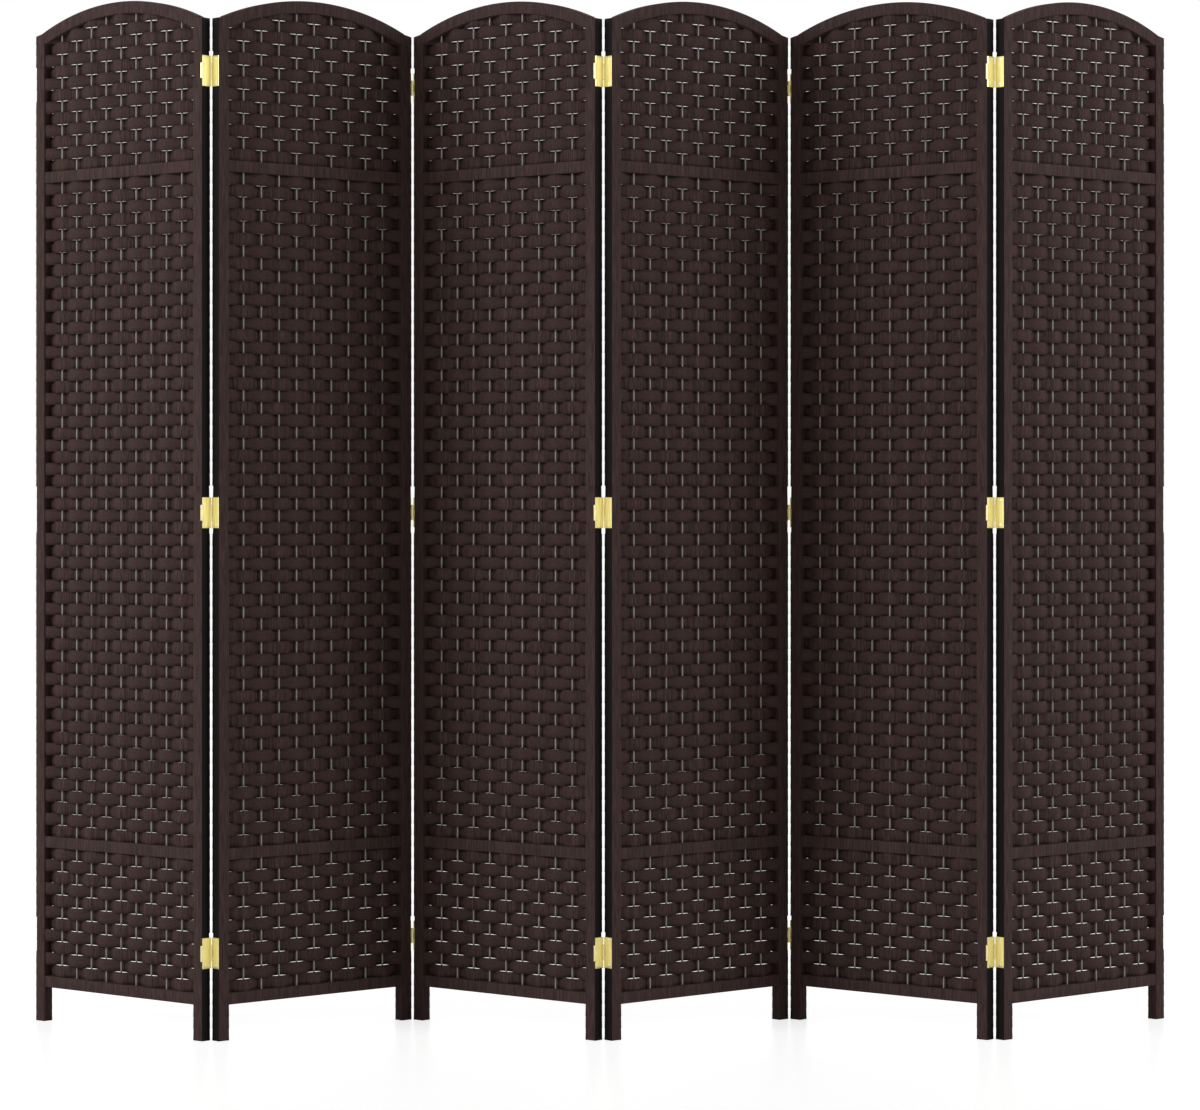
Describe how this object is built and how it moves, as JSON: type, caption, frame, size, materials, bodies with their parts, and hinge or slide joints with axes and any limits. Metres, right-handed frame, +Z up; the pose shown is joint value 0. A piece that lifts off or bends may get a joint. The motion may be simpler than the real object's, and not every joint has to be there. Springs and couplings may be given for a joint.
{
  "type": "folding screen",
  "caption": "Free-standing folding room divider of arched woven panels that fold both ways on double-action hinges.",
  "frame": {"origin": "on the floor, at the centre of the standing screen's outline", "axes": "+X along the screen to the viewer's right, +Y from its front to its back, +Z up"},
  "size_m": [1.904, 0.286, 1.7],
  "materials": {
    "wrapped_frame": "wood core wrapped in flat dark brown twisted-paper ribbon",
    "woven_ribbon": "flat ribbons of twisted paper yarn, dark brown, matt",
    "rod_fibre": "bare grey-brown rods",
    "hinge_brass": "stamped, bright brass plating"
  },
  "bodies": {
    "panel_1": {"panel_1_left_stile": "wrapped_frame", "panel_1_right_stile": "wrapped_frame", "panel_1_arched_rail": "wrapped_frame", "panel_1_cross_rails": "wrapped_frame", "panel_1_warp_rods": "rod_fibre", "panel_1_weave": "woven_ribbon", "hinge_1_left_leaves": "hinge_brass"},
    "link_1": {"hinge_1_links": "hinge_brass", "hinge_1_pins": "hinge_brass"},
    "panel_2": {"panel_2_left_stile": "wrapped_frame", "panel_2_right_stile": "wrapped_frame", "panel_2_arched_rail": "wrapped_frame", "panel_2_cross_rails": "wrapped_frame", "panel_2_warp_rods": "rod_fibre", "panel_2_weave": "woven_ribbon", "hinge_2_left_leaves": "hinge_brass", "hinge_1_right_leaves": "hinge_brass"},
    "link_2": {"hinge_2_links": "hinge_brass", "hinge_2_pins": "hinge_brass"},
    "panel_3": {"panel_3_left_stile": "wrapped_frame", "panel_3_right_stile": "wrapped_frame", "panel_3_arched_rail": "wrapped_frame", "panel_3_cross_rails": "wrapped_frame", "panel_3_warp_rods": "rod_fibre", "panel_3_weave": "woven_ribbon", "hinge_3_left_leaves": "hinge_brass", "hinge_2_right_leaves": "hinge_brass"},
    "link_3": {"hinge_3_links": "hinge_brass", "hinge_3_pins": "hinge_brass"},
    "panel_4": {"panel_4_left_stile": "wrapped_frame", "panel_4_right_stile": "wrapped_frame", "panel_4_arched_rail": "wrapped_frame", "panel_4_cross_rails": "wrapped_frame", "panel_4_warp_rods": "rod_fibre", "panel_4_weave": "woven_ribbon", "hinge_4_left_leaves": "hinge_brass", "hinge_3_right_leaves": "hinge_brass"},
    "link_4": {"hinge_4_links": "hinge_brass", "hinge_4_pins": "hinge_brass"},
    "panel_5": {"panel_5_left_stile": "wrapped_frame", "panel_5_right_stile": "wrapped_frame", "panel_5_arched_rail": "wrapped_frame", "panel_5_cross_rails": "wrapped_frame", "panel_5_warp_rods": "rod_fibre", "panel_5_weave": "woven_ribbon", "hinge_5_left_leaves": "hinge_brass", "hinge_4_right_leaves": "hinge_brass"},
    "link_5": {"hinge_5_links": "hinge_brass", "hinge_5_pins": "hinge_brass"},
    "panel_6": {"panel_6_left_stile": "wrapped_frame", "panel_6_right_stile": "wrapped_frame", "panel_6_arched_rail": "wrapped_frame", "panel_6_cross_rails": "wrapped_frame", "panel_6_warp_rods": "rod_fibre", "panel_6_weave": "woven_ribbon", "hinge_5_right_leaves": "hinge_brass"}
  },
  "joints": [
    {"name": "hinge_2_back_pin", "type": "hinge", "parent": "panel_3", "child": "link_2", "pos_m": [-0.30436, 0.14085, 0.857], "axis": [0, 0, 1], "range_deg": [-170, 0]},
    {"name": "hinge_2_front_pin", "type": "hinge", "parent": "link_2", "child": "panel_2", "pos_m": [-0.3191, 0.1261, 0.857], "axis": [0, 0, 1], "range_deg": [-82, 98]},
    {"name": "hinge_1_back_pin", "type": "hinge", "parent": "panel_2", "child": "link_1", "pos_m": [-0.63655, -0.1223, 0.857], "axis": [0, 0, -1], "range_deg": [-82, 98]},
    {"name": "hinge_1_front_pin", "type": "hinge", "parent": "link_1", "child": "panel_1", "pos_m": [-0.65129, -0.13704, 0.857], "axis": [0, 0, -1], "range_deg": [-180, 0]},
    {"name": "hinge_3_front_pin", "type": "hinge", "parent": "panel_3", "child": "link_3", "pos_m": [-0.01419, -0.13895, 0.857], "axis": [0, 0, 1], "range_deg": [-170, 0]},
    {"name": "hinge_3_back_pin", "type": "hinge", "parent": "link_3", "child": "panel_4", "pos_m": [0.00055, -0.1242, 0.857], "axis": [0, 0, 1], "range_deg": [-82, 98]},
    {"name": "hinge_4_front_pin", "type": "hinge", "parent": "panel_4", "child": "link_4", "pos_m": [0.318, 0.1242, 0.857], "axis": [0, 0, -1], "range_deg": [-82, 98]},
    {"name": "hinge_4_back_pin", "type": "hinge", "parent": "link_4", "child": "panel_5", "pos_m": [0.33274, 0.13895, 0.857], "axis": [0, 0, -1], "range_deg": [-170, 0]},
    {"name": "hinge_5_front_pin", "type": "hinge", "parent": "panel_5", "child": "link_5", "pos_m": [0.6229, -0.14085, 0.857], "axis": [0, 0, 1], "range_deg": [-180, 0]},
    {"name": "hinge_5_back_pin", "type": "hinge", "parent": "link_5", "child": "panel_6", "pos_m": [0.63764, -0.1261, 0.857], "axis": [0, 0, 1], "range_deg": [-82, 98]}
  ]
}
